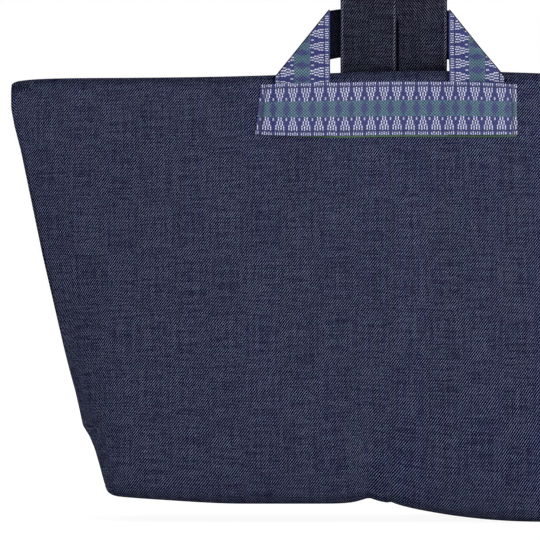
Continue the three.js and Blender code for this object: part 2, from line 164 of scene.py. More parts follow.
class Finish:
    """A material with a Principled shader, and the method that adds nodes to it."""

    def __init__(self, name, roughness, specular):
        self.material = bpy.data.materials.new(name)
        self.material.use_nodes = True
        self.tree = self.material.node_tree
        self.shader = self.tree.nodes["Principled BSDF"]
        self.shader.inputs["Roughness"].default_value = roughness
        self.shader.inputs["Specular IOR Level"].default_value = specular

    def put(self, socket, value):
        if isinstance(value, Value):
            self.tree.links.new(value.socket, socket)
        else:
            socket.default_value = value

    def node(self, kind, settings=None, sockets=None, output=0):
        made = self.tree.nodes.new(kind)
        for key, value in (settings or {}).items():
            setattr(made, key, value)
        for key, value in (sockets or {}).items():
            self.put(made.inputs[key], value)
        return Value(self, made.outputs[output])

    def mix(self, share, low, high):
        """A colour between low and high."""
        return self.node("ShaderNodeMix", {"data_type": "RGBA"}, {0: share, 6: low, 7: high}, 2)

    def cloth(self):
        """Where a point lies on the flat cloth, in millimetres: across it, and along it."""
        place = self.node("ShaderNodeUVMap", {"uv_map": "cloth"})
        parts = self.node("ShaderNodeSeparateXYZ", {}, {0: place})
        return parts / mm, Value(self, parts.socket.node.outputs[1]) / mm

    def painted_shade(self):
        """Painted shade: how much a point's colour is darkened to stand in for shade, where the piece marks
        it, and otherwise 0.
        """
        return self.node("ShaderNodeAttribute", {"attribute_name": "painted_shade"}, {}, 2)

    def noise(self, x, y, detail=2.0):
        """Smooth noise around 0.5 that changes over a unit of x and y."""
        place = self.node("ShaderNodeCombineXYZ", {}, {0: x, 1: y})
        return self.node("ShaderNodeTexNoise", {"noise_dimensions": "2D"},
                         {"Vector": place, "Scale": 1.0, "Detail": detail})

    def chance(self, x, y=0.0):
        """A number from 0 to 1 that belongs to one thread or crossing."""
        place = self.node("ShaderNodeCombineXYZ", {}, {0: x, 1: y})
        return self.node("ShaderNodeTexWhiteNoise", {"noise_dimensions": "2D"}, {"Vector": place})

    def colour(self, value):
        self.put(self.shader.inputs["Base Color"], value)

    def bump(self, height, distance, strength=1.0):
        sockets = {"Height": height, "Distance": distance * mm, "Strength": strength}
        self.put(self.shader.inputs["Normal"], self.node("ShaderNodeBump", {}, sockets))


# %% [markdown]
# Denim is a three-over-one twill: indigo warp threads run up the bag, and each white weft thread shows
# once in every four crossings, one thread further right on each row. The finish draws single flecks at
# about their real pitch, 22.4 by 16.5 threads to the centimetre, so the wale leans at 54 degrees. Thick
# places in the yarn, called slubs, make long faint streaks both ways, where the flecks are brighter, and
# the dye wanders between a plum and a green cast.

# %% Denim
end_pitch, pick_pitch = 10 / 22.4, 10 / 16.5
slub_length, slub_height = 26.0, 0.9
streak_width, streak_length = 0.9, 40.0


def denim(name, ground, fleck, show, folded_edge=1000.0):
    """Ground is the warp's dye, fleck is the bare weft, and show is how much of the weft comes through.

    A folded edge, given as its distance from the piece's middle, is worn pale."""
    finish = Finish(name, roughness=0.9, specular=0.0)
    across, along = finish.cloth()
    sway = finish.noise(across / 45, along / 45) * 2.2
    ends = (across + sway) / end_pitch
    picks = (along + sway * 0.6) / pick_pitch
    end, pick = ends.floor(), picks.floor()
    wale = (ends - picks) / 4.0
    flock = wale.floor()
    aside = abs(wale - flock - 0.5) * 4.0
    above = picks - pick - 0.5
    beside = ends - end - 0.5
    spot = aside.ramp(0.35, 0.03) * (1.0 - above * above * 1.8)
    patch = finish.noise(across / 4, along / 4, 3.0).ramp(0.3, 0.7)
    slub = finish.noise(across / slub_length, along / slub_height, 0.0).ramp(0.3, 0.7)
    streak = finish.noise(across / streak_width, along / streak_length, 0.0).ramp(0.3, 0.7)
    worn = abs(abs(across) - folded_edge).ramp(0.9, 0.3) * 1.1
    uneven = finish.chance(flock, pick) * 0.15 + patch * 0.14 + slub * 0.28 + streak * 0.22
    shown = spot * (uneven + 0.31 + worn)
    yarn = finish.noise(end * 1.31, along / 9.0) * 0.9 + finish.chance(end, 7.0) * 0.5
    # Painted shade: the warp is darkened in the gaps between its threads.
    thread_gap_shade = (beside * beside).ramp(0.1, 0.25, 1.0, 0.3)
    dye = finish.noise(across / 11, along / 11).ramp(0.35, 0.65)
    deep = tuple(v * 0.25 for v in ground[:3]) + (1.0,)
    plum = (ground[0] * 1.7, ground[1] * 1.5, ground[2] * 1.55, 1.0)
    green = (ground[0] * 1.5, ground[1] * 1.8, ground[2] * 1.55, 1.0)
    warp = finish.mix((yarn * thread_gap_shade).ramp(0.1, 1.15), deep, finish.mix(dye, plum, green))
    plum_fleck = (fleck[0] * 0.97, fleck[1] * 0.91, fleck[2], 1.0)
    green_fleck = (fleck[0] * 0.9, fleck[1] * 0.97, fleck[2], 1.0)
    weft = finish.mix(dye, plum_fleck, green_fleck)
    cloth = finish.mix((shown * show).ramp(0.0, 1.0), warp, weft)
    # Painted shade: where the piece marks shade, the cloth's colour goes towards near black.
    finish.colour(finish.mix(finish.painted_shade(), cloth, (0.0012, 0.0012, 0.003, 1.0)))
    finish.bump((beside * beside) * -2.5 + spot * 0.5, 0.12, 0.3)
    return finish.material


denim_face = denim("denim_face", (0.0010, 0.0020, 0.026), (0.72, 0.78, 1.0, 1.0), 1.0)
denim_strap = denim("denim_strap", (0.0008, 0.0013, 0.010), (0.70, 0.70, 0.88, 1.0), 0.74, 18.7)
denim_dark = denim("denim_dark", (0.0008, 0.0010, 0.006), (0.60, 0.60, 0.72, 1.0), 0.4)
print("denim repeats every", round(4 * end_pitch, 2), "by", round(4 * pick_pitch, 2), "mm")


# %% [markdown]
# The lining is a plain cotton weave, one thread over and one under.

# %% Lining cotton
def cotton(name, light, dark, pitch=0.55):
    finish = Finish(name, roughness=0.9, specular=0.2)
    across, along = finish.cloth()
    column, row = (across / pitch).floor(), (along / pitch).floor()
    over = ((column + row) % 2.0) > 0.5
    yarn = finish.chance(column, 3.0) * 0.3 + finish.chance(row, 5.0) * 0.3 + over * 0.4
    finish.colour(finish.mix(yarn, dark, light))
    finish.bump(over + yarn, 0.08, 0.5)
    return finish.material


lining_cotton = cotton("lining_cotton", linear(78, 86, 112), linear(44, 50, 72))
green_tape = cotton("green_tape", linear(84, 112, 88), linear(44, 66, 52), 0.7)


# %% [markdown]
# The ribbon is a jacquard with a traditional figure that repeats every 9.3 mm: a teal band along its
# middle with a blue lozenge in each repeat, and pale wedges of stepped bars on either side, which grow
# from two bars to four towards the edge. A row of light dots finishes each edge. The finish measures how
# far out from the middle a point lies, and how far it is from the middle of its own repeat.

# %% Woven ribbon
repeat = 9.3
bar_pitch, dot_pitch = 1.86, 1.9
edge_pitch = 1.55
weft_pitch, thread_pitch = 1.08, 0.7
band_edge, narrow_edge, middle_edge, wedge_edge = 5.7, 8.6, 11.8, 15.4
dots_low, dots_high = 16.4, 18.9


def ribbon(name):
    finish = Finish(name, roughness=0.6, specular=0.35)
    across, along = finish.cloth()
    out = abs(across)
    turn = ((along / repeat) % 1.0 - 0.5) * repeat
    off = abs(turn)
    from_gap = repeat / 2 - off

    def bars(pitch, shift, half, low, high):
        """Light bars side by side, each a row of dots that stand between those of the next bar."""
        bar = turn / pitch + shift
        wave = abs((bar % 1.0) - 0.5)
        dot = abs(((out / dot_pitch + bar.floor() * 0.5) % 1.0) - 0.5)
        return (wave.ramp(0.27, 0.09) * dot.ramp(0.45, 0.2, 0.22, 1.0)
                * (off < half) * (out > low) * (out < high))

    thread = finish.chance((along / thread_pitch).floor(), (across / thread_pitch).floor())
    crossing = ((along / weft_pitch).floor() + (across / weft_pitch).floor()) % 2.0
    wide = bars(bar_pitch, 0.0, 2 * bar_pitch, middle_edge, wedge_edge)
    middle = bars(bar_pitch, 0.5, 1.5 * bar_pitch, narrow_edge, middle_edge)
    narrow = bars(bar_pitch, 0.0, bar_pitch, band_edge, narrow_edge)
    seed = (from_gap < 0.5) * (out > 6.4) * (out < 8.4) * 0.6
    dots = bars(edge_pitch, 0.5, 4.0, dots_low, dots_high)
    wedge = (off < (out * 0.17 + 0.9)) * (out > band_edge) * (out < wedge_edge)
    edge = out > 16.2
    lozenge = (from_gap / 3.3 + out / 7.5).ramp(1.1, 0.6)

    navy, royal = linear(10, 11, 44), linear(64, 72, 150)
    lavender, white = linear(86, 94, 160), linear(244, 246, 255)
    teal, mint = linear(8, 24, 40), linear(98, 136, 158)
    ground = finish.mix(crossing * 0.6 + thread * 0.2, navy, royal)
    ground = finish.mix(wedge.largest(edge) * (crossing * 0.25 + thread * 0.1), ground, lavender)
    band = finish.mix(crossing * 0.66 + thread * 0.2, teal, mint)
    figure = finish.mix(crossing * 0.5 + thread * 0.2, navy, lavender)
    band = finish.mix(lozenge * 0.95, band, figure)
    colour = finish.mix(out < band_edge, ground, band)
    light = wide.largest(middle).largest(narrow).largest(seed).largest(dots)
    colour = finish.mix(light * (thread * 0.35 + 0.58), colour, white)
    # Painted shade: the groove inside each edge, and the places the piece marks, are darkened towards navy.
    groove = (out > wedge_edge) * (out < 16.3)
    pressed = (groove * 0.45).largest(finish.painted_shade())
    finish.colour(finish.mix(pressed, colour, linear(8, 10, 36)))
    finish.bump(light * 0.6 + crossing * 0.3 + thread * 0.2, 0.12, 0.6)
    return finish.material


woven_ribbon = ribbon("woven_ribbon")
print("ribbon repeats every", repeat, "mm")


# %% [markdown]
# Sewing thread is two plies twisted together, so it is drawn as slanting dark lines between lighter ones;
# the dark lines are painted shade in the grooves between the plies.

# %% Sewing thread
ply_pitch = 0.35


def sewing_thread(name, light, dark):
    finish = Finish(name, roughness=0.55, specular=0.3)
    across, along = finish.cloth()
    twist = ((along + across * 1.5) / ply_pitch) % 1.0
    # Painted shade in the grooves between the plies.
    ply = abs(twist - 0.5).ramp(0.1, 0.5)
    finish.colour(finish.mix(ply, light, dark))
    finish.bump(ply * -1.0, 0.08)
    return finish.material


navy_thread = sewing_thread("navy_thread", linear(76, 82, 126), linear(36, 40, 76))
print("the thread shows a ply every", ply_pitch, "mm")

# %% [markdown]
# Cloth starts as a flat grid. Each of its points is then carried to its place on the bag, and a UV map
# keeps where the point was on the flat cloth, so that the weave follows the shape. Solidify gives the
# sheet its thickness towards the inside, and its modifier is applied.

# %% Cloth helpers
smooth_angle = math.radians(60)


def select_only(piece):
    bpy.ops.object.select_all(action="DESELECT")
    bpy.context.view_layer.objects.active = piece
    piece.select_set(True)


def lengths_along(points, axis):
    """How far each point of a grid lies along the rows or columns that lead to it."""
    step = np.linalg.norm(np.diff(points, axis=axis), axis=2)
    return np.insert(np.cumsum(step, axis=axis), 0, 0.0, axis=axis)


def flat_places(points):
    """Where a draped grid's points lie on the flat cloth, from the middle of the lowest row."""
    middle = [points.shape[1] // 2]
    across, along = lengths_along(points, 1), lengths_along(points, 0)
    return np.stack([across - across[:, middle], along[:, middle] + 0 * along], axis=2)


def reaches(line):
    """How far along a line each of its points is."""
    return np.insert(np.cumsum(np.linalg.norm(np.diff(line, axis=0), axis=1)), 0, 0)


def at_reach(place, reach, line):
    """What the line's values are that far along it."""
    return np.stack([np.interp(place, reach, line[:, a]) for a in range(3)], axis=-1)


def unit(vectors):
    """Rows of vectors, each made one long."""
    return vectors / np.linalg.norm(vectors, axis=1, keepdims=True)


def map_cloth(mesh, flat):
    """Keeps each point's place on the flat cloth as the mesh's UV map."""
    corners = np.empty(len(mesh.loops), dtype=int)
    mesh.loops.foreach_get("vertex_index", corners)
    places = mesh.uv_layers.active or mesh.uv_layers.new()
    places.name = "cloth"
    places.data.foreach_set("uv", (flat * mm)[corners].ravel())


def sheet(name, points, flat, finish, thickness=0.0, painted_shade=None):
    """A grid of points, as rows from the bottom up and columns from left to right seen from outside.

    Painted shade says how much each point's colour is darkened to stand in for shade, from 0 to 1."""
    rows, columns = points.shape[:2]
    bpy.ops.mesh.primitive_grid_add(x_subdivisions=columns - 1, y_subdivisions=rows - 1, size=2)
    piece = bpy.context.object
    piece.name = name
    mesh = piece.data
    mesh.name = name
    start = np.empty(len(mesh.vertices) * 3)
    mesh.vertices.foreach_get("co", start)
    start = start.reshape(-1, 3)
    column = np.rint((start[:, 0] + 1) / 2 * (columns - 1)).astype(int)
    row = np.rint((start[:, 1] + 1) / 2 * (rows - 1)).astype(int)
    mesh.vertices.foreach_set("co", (points[row, column] * mm).ravel())
    map_cloth(mesh, flat[row, column])
    mesh.materials.append(finish)
    if painted_shade is not None:
        mesh.attributes.new("painted_shade", "FLOAT", "POINT").data.foreach_set("value", painted_shade[row, column])
    if thickness:
        modifier = piece.modifiers.new("thickness", "SOLIDIFY")
        modifier.thickness = thickness * mm
        modifier.offset = -1
        modifier.use_even_offset = False
        select_only(piece)
        bpy.ops.object.modifier_apply(modifier=modifier.name)
    select_only(piece)
    bpy.ops.object.shade_smooth_by_angle(angle=smooth_angle)
    mesh.update()
    return piece


def closed_up(piece, angle):
    """Merges points that coincide, turns all faces outward, and smooths edges flatter than an angle."""
    select_only(piece)
    bpy.ops.object.mode_set(mode="EDIT")
    bpy.ops.mesh.select_all(action="SELECT")
    bpy.ops.mesh.remove_doubles(threshold=1e-6)
    bpy.ops.mesh.normals_make_consistent(inside=False)
    bpy.ops.object.mode_set(mode="OBJECT")
    bpy.ops.object.shade_smooth_by_angle(angle=angle)
    return piece


def outward(points):
    """The outer face's normals on a grid."""
    right = np.gradient(points, axis=1)
    up = np.gradient(points, axis=0)
    normal = np.cross(right, up)
    return normal / np.maximum(np.linalg.norm(normal, axis=2, keepdims=True), 1e-9)


def sunk(points, depth):
    """The same grid, a depth below its outer face. The depth may differ from point to point."""
    return points - outward(points) * np.asarray(depth)[..., None]


# %% [markdown]
# The body's outer face is one formula. At the base its section is a box with round corners, and at the
# mouth it is a flat lens, which the strap draws together in the middle. A few broad dents keep the cloth
# from looking drawn with a ruler, and the front's lower edge is raised on the left, as the cloth sags.

# %% The body's outer face
rounding_share = rounding / mouth_height


def smooth_step(x, low, high):
    s = np.clip((x - low) / (high - low), 0, 1)
    return s * s * (3 - 2 * s)


def half_width(t):
    """The side leans in from the shoulder to the hip, and more steeply at the boxed corner's top."""
    return np.interp(t * mouth_height, side_heights, side_halves)


def half_depth(t):
    return base_depth / 2 + (mouth_depth - base_depth) / 2 * t ** 1.6


def section(across, t, inset=0.0):
    """Points of the front half of the section: across runs from -1 to 1, and t is the height's share."""
    w = half_width(t) - inset
    d = half_depth(t) - inset
    arc = corner_radius * math.pi / 2
    run = np.abs(across) * ((w - corner_radius) + arc + (d - corner_radius))
    past = run - (w - corner_radius)
    angle = np.clip(past / corner_radius, 0, math.pi / 2)
    x = np.where(past < 0, run, w - corner_radius + corner_radius * np.sin(angle))
    y = d - corner_radius + corner_radius * np.cos(angle) - np.clip(past - arc, 0, None)
    box = np.stack([np.sign(across) * x, -y], axis=-1)
    lens = np.stack([w * across, -d * (1 - across ** 2)], axis=-1)
    boxiness = (1 - t) ** 1.5
    blended = lens + (box - lens) * boxiness
    pinch = (1 - pinched_depth / mouth_depth) * np.exp(-(blended[..., 0] / pinch_spread) ** 2)
    blended[..., 1] *= 1 - pinch * t ** 4
    return blended


def mouth_edge(x, side=-1):
    from_corner = mouth_half - np.abs(x)
    droop = corner_droop * np.exp(-from_corner / corner_spread)
    droop = droop + corner_turn * np.exp(-from_corner / turn_spread)
    sag = 1.6 * np.exp(-(x / 230) ** 4) if side > 0 else 0.0
    return mouth_height + mouth_rise * np.exp(-((x - rise_centre) / rise_spread) ** 2) - droop - sag


def foot_lift(x):
    """How far the front's lower edge is off the floor."""
    left = 14.5 + 4.1 * smooth_step(-x, 105, 200)
    right = 1.7 + 12.9 * np.clip(1 - x / 107, 0, 1) ** 2
    notch = 4.2 * np.exp(-(np.abs(x + 16) / 9) ** 1.3)
    return np.where(x < 0, left, right + 0.6 * np.exp(-np.abs(x) / 6)) + notch


def lift(x, z):
    """The lift fades up the wall."""
    return foot_lift(x) * smooth_step(-z, -base_depth, 0)


def dents(x, z, side):
    """Broad dents of soft cloth, in and out; behind, they are deeper, and the strap's ends draw two folds."""
    phase = 0 if side < 0 else 2.4
    broad = 1.5 * np.sin(x / 47 + 0.6 + phase) * np.sin(z / 61 + 0.9)
    narrow = 0.8 * np.sin(x / 21 + z / 57 + 2 + phase) + 0.5 * np.sin(x / 13 - z / 24 + phase)
    fade = smooth_step(z, 6, 60) * smooth_step(mouth_height - z, 8, 90) * smooth_step(250 - np.abs(x), 0, 60)
    if side < 0:
        return (broad + narrow) * fade
    below = mouth_height - z
    drawn = 1.8 * np.exp(-((np.abs(x - 4) - 30 - below * 0.35) / (9 + below * 0.08)) ** 2)
    return (1.7 * (broad + narrow) + drawn * smooth_step(below, 10, 50) * smooth_step(z, 60, 220)) * fade


def side_dents(x, y, z):
    """Small folds of the side walls, which fade at the side seam, the mouth and the base."""
    wave = 1.3 * np.sin(z / 17 + np.abs(y) / 9) + 1.1 * np.sin(z / 31 - np.abs(y) / 14 + np.sign(x)) - 1.5
    near_side = smooth_step(np.abs(x), 150, 215) * smooth_step(np.abs(y), 2, 16)
    return np.sign(x) * wave * near_side * smooth_step(z, 12, 40) * smooth_step(mouth_height - z, 90, 170)


def wall_row(across, t, side):
    points = section(across, t)
    x, y = points[:, 0], points[:, 1]
    z = t * mouth_edge(x, side)
    y = y + dents(x, z, side) * np.clip(-y / 20, 0, 1)
    x = x + side_dents(x, y, z)
    return np.stack([x, y, z], axis=1)


def rounded_row(across, angle):
    inset = rounding * (1 - math.cos(angle))
    points = section(across, rounding_share, inset)
    z = np.full(len(across), rounding * (1 - math.sin(angle)))
    return np.stack([points[:, 0], points[:, 1], z], axis=1)


def base_row(across, share):
    points = section(across, rounding_share, rounding)
    x = points[:, 0] * (1 - 0.1 * share)
    return np.stack([x, points[:, 1] * (1 - share), np.zeros(len(across))], axis=1)


def body(side, across, shares, rounds=(), bases=(), tuck=0.0):
    """A grid of the outer face, from the base's middle up to the mouth; side is -1 in front, 1 behind.

    A tuck keeps the grid short of the side seams, where the two panels meet at a thin edge."""
    rows = [base_row(across, share) for share in bases]
    rows += [rounded_row(across, angle) for angle in rounds]
    rows += [wall_row(across * (1 - tuck * t ** 2), t, side) for t in shares]
    points = np.array(rows)
    if side > 0:
        points[..., 1] *= -1
        points = points[:, ::-1]
    points[..., 2] += lift(points[..., 0], points[..., 2])
    return points


even = np.linspace(0, 1, 80)
edge_columns = 1 - np.array([0.004, 0.008, 0.014, 0.022])
half_across = np.unique(np.concatenate([even, edge_columns]))
across = np.concatenate([-half_across[:0:-1], half_across])
near_mouth = 1 - np.array([2, 4, 6, 8]) / mouth_height
wall_shares = np.unique(np.concatenate([np.linspace(rounding_share, 1, 100), near_mouth]))
round_angles = np.linspace(math.pi / 2, 0, 9)[:-1]
base_shares = np.linspace(1, 0, 16)[:-1]
panel_rows = len(wall_shares) + len(round_angles) + len(base_shares)
print("a panel has", panel_rows, "rows of", len(across), "points")


# %% [markdown]
# The mouth's edge is turned in: it leans, rolls over in a half circle and goes down again on the inside.
# Where two panels meet, at the sides and under the base, each one dips into the seam.

# %% Panels
roll_radius = 1.5
denim_thickness = 1.0
turned_depth = 5.0
corner_seam_height = 7.0


def rolled(points):
    """Adds the turned edge above a grid of the outer face."""
    normal = outward(points)[-1]
    normal[:, 2] = 0
    normal = unit(normal)
    top = points[-1]
    drop = (top[None, :, 2] - points[..., 2]) / 6
    lean = 0.9 * np.clip(1 - drop, 0, 1) ** 2
    points = points - outward(points) * lean[..., None]
    top = points[-1]
    middle = top - normal * roll_radius
    up = np.array([0, 0, 1.0])
    rows = [middle + roll_radius * (math.cos(a) * normal + math.sin(a) * up)
            for a in np.linspace(0, math.pi, 9)[1:]]
    rows += [rows[-1] - up * d for d in np.linspace(0, turned_depth, 4)[1:]]
    low = points.copy()
    low[-1] = top
    result = np.concatenate([low, np.array(rows)])
    result[..., 2] -= roll_radius * smooth_step(result[..., 2], 280, 312)
    return result


def seamed(points):
    """Dips the sides and the base's middle into their seams."""
    reach = lengths_along(points, 1)
    to_side = np.minimum(reach, reach[:, -1:] - reach)
    dip = 1.1 * np.exp(-(to_side / 2.2) ** 2)
    climb = lengths_along(points, 0)
    dip = np.maximum(dip, 1.1 * np.exp(-(climb / 2.2) ** 2) * (points[..., 2] < 30))
    end = np.abs(points[..., 1]) < base_depth / 2 - corner_radius
    side_wall = (np.abs(points[..., 0]) > side_halves[0] - 25) & end & (points[..., 2] < 40)
    above_foot = points[..., 2] - foot_lift(points[..., 0])
    corner_seam = np.exp(-((above_foot - corner_seam_height) / 1.6) ** 2)
    return sunk(points, np.maximum(dip, corner_seam * side_wall))


def painted_fold_shade(points):
    """Painted shade: the cloth's colour is darkened where it turns over, at the mouth, round the base and
    beside the side seams.
    """
    reach = lengths_along(points, 1)
    to_side = np.minimum(reach, reach[:, -1:] - reach)
    below = points[-1:, :, 2] - points[..., 2]
    above = points[..., 2] - lift(points[..., 0], points[..., 2])
    at_mouth = 0.45 * np.exp(-(below / 3.5) ** 2)
    at_base = 0.3 * np.exp(-(above / 5.0) ** 2)
    at_side = 0.45 * np.exp(-(to_side / 2.0) ** 2)
    return np.maximum(np.maximum(at_mouth, at_base), at_side)


for place, side in (("front", -1), ("rear", 1)):
    grid = body(side, across, wall_shares, round_angles, base_shares)
    flat = flat_places(grid)
    # Painted shade where the cloth turns over.
    painted_shade = painted_fold_shade(grid)
    grid = rolled(seamed(grid))
    turned = len(grid) - len(flat)
    turned_flat = np.repeat(flat[-1:], turned, axis=0)
    turned_flat[..., 1] += lengths_along(grid[-turned - 1:], 0)[1:]
    flat = np.concatenate([flat, turned_flat])
    painted_shade = np.concatenate([painted_shade, np.repeat(painted_shade[-1:], turned, axis=0)])
    panel = sheet(f"{place}_panel_cloth", grid, flat, denim_face, denim_thickness, painted_shade=painted_shade)
    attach(panel, "bag")
    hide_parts(f"{place}_panel")
    print(panel.name, len(panel.data.polygons), "faces")


# %% [markdown]
# Inside, a denim facing backs the mouth, and the cotton lining hangs from it down to the base. The seam
# allowances lie pressed open between the two cloths.

# %% Facings, linings and seams
facing_depth, facing_start = 40.0, 4.0
facing_share = 1 - facing_depth / mouth_height
inner_columns = np.linspace(-1, 1, 121)
side_tuck = 0.055


def layer(name, grid, depth, thickness, finish, slot, *nodes):
    points = sunk(grid, np.full(grid.shape[:2], depth))
    piece = sheet(name, points, flat_places(points), finish, thickness)
    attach(piece, "bag")
    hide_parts(*nodes)
    print(name, len(piece.data.polygons), "faces")


for place, side in (("front", -1), ("rear", 1)):
    facing_rows = np.linspace(facing_share, 1 - facing_start / mouth_height, 18)
    layer(f"{place}_facing_cloth", body(side, inner_columns, facing_rows, tuck=side_tuck), 1.7, 0.9,
          denim_face, "denim", f"{place}_facing")
    lining_rows = np.linspace(rounding_share, facing_share, 40)
    layer(f"{place}_lining_cloth",
          body(side, inner_columns, lining_rows, round_angles[::2], base_shares[::3], side_tuck), 2.6, 0.6,
          lining_cotton, "lining_cotton", f"{place}_lining")


def around_side(end, reach, shares, rounds=(), bases=()):
    """A grid that passes round the left or right side of the bag, from one panel to the other."""
    columns = np.linspace(-1, reach - 1, 7) if end < 0 else np.linspace(1 - reach, 1, 7)
    front, rear = (body(side, columns, shares, rounds, bases, side_tuck) for side in (-1, 1))
    return np.concatenate([rear, front[:, 1:]] if end < 0 else [front, rear[:, 1:]], axis=1)


seam_shares = np.linspace(0.07, 0.95, 50)
corner_shares = np.linspace(rounding_share, 0.062, 5)
for place, end in (("left", -1), ("right", 1)):
    layer(f"{place}_side_seam_cloth", around_side(end, 0.035, seam_shares), 1.2, 0.6,
          denim_dark, "denim_back", f"{place}_side_seam")
    corner = around_side(end, 0.14, corner_shares, round_angles[::2], (0.4, 0.2))
    layer(f"{place}_corner_seam_cloth", corner, 1.3, 0.8, denim_dark, "denim_back", f"{place}_corner_seam")

seam_bases = np.linspace(1, 0.86, 4)
front, rear = (body(side, inner_columns * 0.97, [], [], seam_bases) for side in (-1, 1))
layer("base_seam_cloth", np.concatenate([rear[:0:-1, ::-1], front]), 1.3, 0.8,
      denim_dark, "denim_back", "base_seam")

# %% [markdown]
# What is sewn on the front follows the panel's face. A point there is given by its place across the bag,
# its drop below the mouth's edge, and how far the cloths under it raise it.

# %% Points of the front face
fine_across = np.linspace(-1, 1, 401)


def front_rows(x, drops, proud=0.0):
    """A grid on the front face, from its lowest row up; x and drops are arrays of rows and columns."""
    rows = []
    for columns, drop in zip(x, drops):
        share = 1 - float(np.mean(drop)) / mouth_height
        face = wall_row(fine_across, share, -1)
        y = np.interp(columns, face[:, 0], face[:, 1])
        rows.append(np.stack([columns, y, mouth_edge(columns) - drop], axis=1))
    points = np.array(rows)
    return sunk(points, -np.broadcast_to(proud, points.shape[:2]))


# %% [markdown]
# The ribbon patch lies flat on the front, over a green tape that peeps out under it, and over the two
# ends of the short loop, which lift it a little. Its stitching draws its edges down to the denim, and
# presses a groove near each end, where the ribbon is turned under; that groove's shade is painted as a
# dark line.

# %% Ribbon patch
ribbon_width = 38.0
patch_drop, patch_slope, patch_bow = 8.0, 0.011, 2.2
patch_left_low, patch_left_high, patch_right = -96.4, -92.4, 90.3
loop_centre, loop_inside, loop_width = -0.5, 85.0, 40.0
riser_middle = (loop_inside + loop_width) / 2
stitch_inset, end_inset = 2.2, 3.2
ribbon_thickness, ribbon_proud, thread_proud, loop_end_lift = 0.5, 1.5, 1.25, 1.1
patch_grid = (160, 34)


def patch_rows(columns, rows, inset=0.0, side_inset=0.0):
    """Where the patch's points lie: across the front, below the mouth's edge, and on the flat ribbon."""
    u = np.linspace(0, 1, columns)[None, :]
    v = np.linspace(0, 1, rows)[:, None]
    left = patch_left_low + (patch_left_high - patch_left_low) * v + side_inset
    x = left + (patch_right - side_inset - left) * u
    top = patch_drop + patch_slope * x + inset
    height = ribbon_width - patch_bow * (x / patch_right) ** 4 - 2 * inset
    drop = top + height * (1 - v)
    flat = np.stack([ribbon_width * (v - 0.5) + 0 * u, x], axis=2)
    return x, drop, flat


def over_loop_ends(x):
    """How far the short loop's ends lift what lies over them."""
    side = np.abs(np.abs(x - loop_centre) - riser_middle)
    return loop_end_lift * (1 - smooth_step(side, loop_width / 2 - 1, loop_width / 2 + 3))


x, drop, flat = patch_rows(*patch_grid)
to_end = np.minimum(x - x[:, :1], x[:, -1:] - x)
to_rim = np.minimum(drop - drop[-1], drop[0] - drop)
end_line = np.exp(-((to_end - end_inset) / 0.9) ** 2)
pressed = 0.4 * np.exp(-np.minimum(to_end, to_rim) / 1.2) + 0.3 * end_line
pressed += 0.3 * np.exp(-((to_rim - stitch_inset) / 0.7) ** 2)
points = front_rows(x, drop, ribbon_proud + over_loop_ends(x) - pressed)
# Painted shade: a dark line along the groove near each end.
patch = sheet("ribbon_patch_cloth", points, flat, woven_ribbon, ribbon_thickness, painted_shade=0.85 * end_line)
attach(patch, "bag")
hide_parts("ribbon_patch")
print(patch.name, "is", round(np.ptp(flat[..., 1])), "mm long")

tape_left, tape_right, tape_reach = -86.0, 89.6, 1.3
u = np.linspace(tape_left, tape_right, 122)[None, :]
v = np.linspace(0, 1, 16)[:, None]
tape_top = patch_drop + patch_slope * u
tape_low = tape_top + ribbon_width - patch_bow * (u / patch_right) ** 4
tape_low = tape_low + tape_reach * smooth_step(u, -75, -30)
x, drop = u + 0 * v, tape_low + (tape_top + 2 - tape_low) * v
flat = np.stack([x, -drop], axis=2)
tape = sheet("green_tape_cloth", front_rows(x, drop, 0.75), flat, green_tape, 0.5)
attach(tape, "bag")
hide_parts("patch_tape")

# %% [markdown]
# A stitch is one small bead of thread, modelled once as a thin rounded rod. Its copies are laid along a
# seam's line and joined, so that every stitch is real geometry.

# %% Stitches
stitch_length = 2.6
stitch_gap = 0.9


def bead():
    bpy.ops.mesh.primitive_cylinder_add(vertices=6, radius=1, depth=2, end_fill_type="TRIFAN")
    piece = bpy.context.object
    rod = np.array([v.co for v in piece.data.vertices])
    faces = [list(p.vertices) for p in piece.data.polygons]
    bpy.ops.object.delete()
    return rod, faces


def stitches(line, normals, width):
    """Beads along a line of points, each sunk at its ends; the line's normals point out of the cloth."""
    rod, faces = bead()
    reach = reaches(line)
    count = int(reach[-1] // (stitch_length + stitch_gap))
    places, polygons, flats = [], [], []
    for k in range(count):
        middle = (k + 0.5) * reach[-1] / count
        ends = [at_reach(middle + d, reach, line) for d in (-stitch_length / 2, stitch_length / 2)]
        normal = at_reach(middle, reach, normals)
        along = (ends[1] - ends[0]) / np.linalg.norm(ends[1] - ends[0])
        sideways = np.cross(normal, along)
        bend = 1 - 0.55 * np.abs(rod[:, 2:3])
        places.append((ends[0] + ends[1]) / 2 + rod[:, 2:3] * along * stitch_length / 2
                      + rod[:, 0:1] * sideways * width / 2 + rod[:, 1:2] * normal * width / 2 * bend)
        polygons += [[i + k * len(rod) for i in face] for face in faces]
        flats.append(np.stack([rod[:, 0] * width, rod[:, 2] * stitch_length / 2], axis=1))
    return np.concatenate(places), polygons, np.concatenate(flats)


def stitch_piece(name, lines, width, finish):
    """One mesh with the beads of several lines."""
    places, polygons, flats, first = [], [], [], 0
    for line, normals in lines:
        points, faces, flat = stitches(line, normals, width)
        places.append(points)
        polygons += [[i + first for i in face] for face in faces]
        flats.append(flat)
        first += len(points)
    mesh = bpy.data.meshes.new(name)
    mesh.from_pydata((np.concatenate(places) * mm).tolist(), [], polygons)
    piece = bpy.data.objects.new(name, mesh)
    bpy.context.collection.objects.link(piece)
    map_cloth(mesh, np.concatenate(flats))
    mesh.materials.append(finish)
    print(name, len(polygons), "faces")
    return closed_up(piece, smooth_angle)


